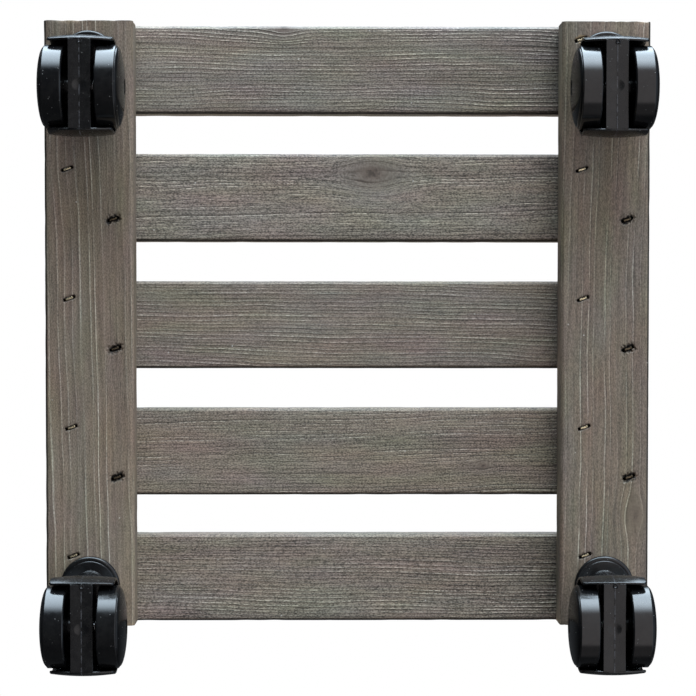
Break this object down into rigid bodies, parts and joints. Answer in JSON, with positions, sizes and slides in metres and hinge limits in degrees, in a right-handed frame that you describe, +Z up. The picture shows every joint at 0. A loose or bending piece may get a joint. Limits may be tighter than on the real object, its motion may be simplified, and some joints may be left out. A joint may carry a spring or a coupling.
{
  "type": "plant pot caddy",
  "caption": "Square slatted wooden plant pot stand on two rails, carried by swivelling twin-wheel casters.",
  "frame": {"origin": "on the floor, under the middle of the whole caddy with its casters trailing towards +Y", "axes": "+Z up; +X along the slats, to the right; +Y along the rails, towards the end that the casters trail to"},
  "size_m": [0.3, 0.3201, 0.0813],
  "materials": {
    "rail_wood": "grey-brown stained softwood, matt",
    "slat_wood": "grey-brown stained softwood, matt",
    "staple_wire": "bright wire",
    "caster_flange": "satin black",
    "caster_moulding": "satin black",
    "caster_wheel": "glossy black",
    "stem_steel": "zinc plated",
    "ring_steel": "spring steel",
    "axle_steel": "bright"
  },
  "bodies": {
    "deck": {"rail_left": "rail_wood", "rail_right": "rail_wood", "slat_1": "slat_wood", "slat_2": "slat_wood", "slat_3": "slat_wood", "slat_4": "slat_wood", "slat_5": "slat_wood", "staple_left_1_a": "staple_wire", "staple_left_1_b": "staple_wire", "staple_left_2_a": "staple_wire", "staple_left_2_b": "staple_wire", "staple_left_3_a": "staple_wire", "staple_left_3_b": "staple_wire", "staple_left_4_a": "staple_wire", "staple_left_4_b": "staple_wire", "staple_left_5_a": "staple_wire", "staple_left_5_b": "staple_wire", "staple_right_1_a": "staple_wire", "staple_right_1_b": "staple_wire", "staple_right_2_a": "staple_wire", "staple_right_2_b": "staple_wire", "staple_right_3_a": "staple_wire", "staple_right_3_b": "staple_wire", "staple_right_4_a": "staple_wire", "staple_right_4_b": "staple_wire", "staple_right_5_a": "staple_wire", "staple_right_5_b": "staple_wire", "caster_front_left_socket": "caster_flange", "caster_front_right_socket": "caster_flange", "caster_rear_left_socket": "caster_flange", "caster_rear_right_socket": "caster_flange"},
    "front_left_swivel": {"caster_front_left_body": "caster_moulding", "caster_front_left_stem": "stem_steel", "caster_front_left_ring": "ring_steel", "caster_front_left_axle": "axle_steel"},
    "front_left_wheel_left": {"caster_front_left_wheel_left": "caster_wheel"},
    "front_left_wheel_right": {"caster_front_left_wheel_right": "caster_wheel"},
    "front_right_swivel": {"caster_front_right_body": "caster_moulding", "caster_front_right_stem": "stem_steel", "caster_front_right_ring": "ring_steel", "caster_front_right_axle": "axle_steel"},
    "front_right_wheel_left": {"caster_front_right_wheel_left": "caster_wheel"},
    "front_right_wheel_right": {"caster_front_right_wheel_right": "caster_wheel"},
    "rear_left_swivel": {"caster_rear_left_body": "caster_moulding", "caster_rear_left_stem": "stem_steel", "caster_rear_left_ring": "ring_steel", "caster_rear_left_axle": "axle_steel"},
    "rear_left_wheel_left": {"caster_rear_left_wheel_left": "caster_wheel"},
    "rear_left_wheel_right": {"caster_rear_left_wheel_right": "caster_wheel"},
    "rear_right_swivel": {"caster_rear_right_body": "caster_moulding", "caster_rear_right_stem": "stem_steel", "caster_rear_right_ring": "ring_steel", "caster_rear_right_axle": "axle_steel"},
    "rear_right_wheel_left": {"caster_rear_right_wheel_left": "caster_wheel"},
    "rear_right_wheel_right": {"caster_rear_right_wheel_right": "caster_wheel"}
  },
  "joints": [
    {"name": "front_left_swivel_turn", "type": "hinge", "parent": "deck", "child": "front_left_swivel", "pos_m": [-0.128, -0.14005, 0.045], "axis": [0, 0, 1], "continuous": true},
    {"name": "front_left_wheel_left_spin", "type": "hinge", "parent": "front_left_swivel", "child": "front_left_wheel_left", "pos_m": [-0.1405, -0.12375, 0.02], "axis": [1, 0, 0], "continuous": true},
    {"name": "front_left_wheel_right_spin", "type": "hinge", "parent": "front_left_swivel", "child": "front_left_wheel_right", "pos_m": [-0.1155, -0.12375, 0.02], "axis": [1, 0, 0], "continuous": true},
    {"name": "front_right_swivel_turn", "type": "hinge", "parent": "deck", "child": "front_right_swivel", "pos_m": [0.128, -0.14005, 0.045], "axis": [0, 0, 1], "continuous": true},
    {"name": "front_right_wheel_left_spin", "type": "hinge", "parent": "front_right_swivel", "child": "front_right_wheel_left", "pos_m": [0.1155, -0.12375, 0.02], "axis": [1, 0, 0], "continuous": true},
    {"name": "front_right_wheel_right_spin", "type": "hinge", "parent": "front_right_swivel", "child": "front_right_wheel_right", "pos_m": [0.1405, -0.12375, 0.02], "axis": [1, 0, 0], "continuous": true},
    {"name": "rear_left_swivel_turn", "type": "hinge", "parent": "deck", "child": "rear_left_swivel", "pos_m": [-0.128, 0.11995, 0.045], "axis": [0, 0, 1], "continuous": true},
    {"name": "rear_left_wheel_left_spin", "type": "hinge", "parent": "rear_left_swivel", "child": "rear_left_wheel_left", "pos_m": [-0.1405, 0.13625, 0.02], "axis": [1, 0, 0], "continuous": true},
    {"name": "rear_left_wheel_right_spin", "type": "hinge", "parent": "rear_left_swivel", "child": "rear_left_wheel_right", "pos_m": [-0.1155, 0.13625, 0.02], "axis": [1, 0, 0], "continuous": true},
    {"name": "rear_right_swivel_turn", "type": "hinge", "parent": "deck", "child": "rear_right_swivel", "pos_m": [0.128, 0.11995, 0.045], "axis": [0, 0, 1], "continuous": true},
    {"name": "rear_right_wheel_left_spin", "type": "hinge", "parent": "rear_right_swivel", "child": "rear_right_wheel_left", "pos_m": [0.1155, 0.13625, 0.02], "axis": [1, 0, 0], "continuous": true},
    {"name": "rear_right_wheel_right_spin", "type": "hinge", "parent": "rear_right_swivel", "child": "rear_right_wheel_right", "pos_m": [0.1405, 0.13625, 0.02], "axis": [1, 0, 0], "continuous": true}
  ]
}
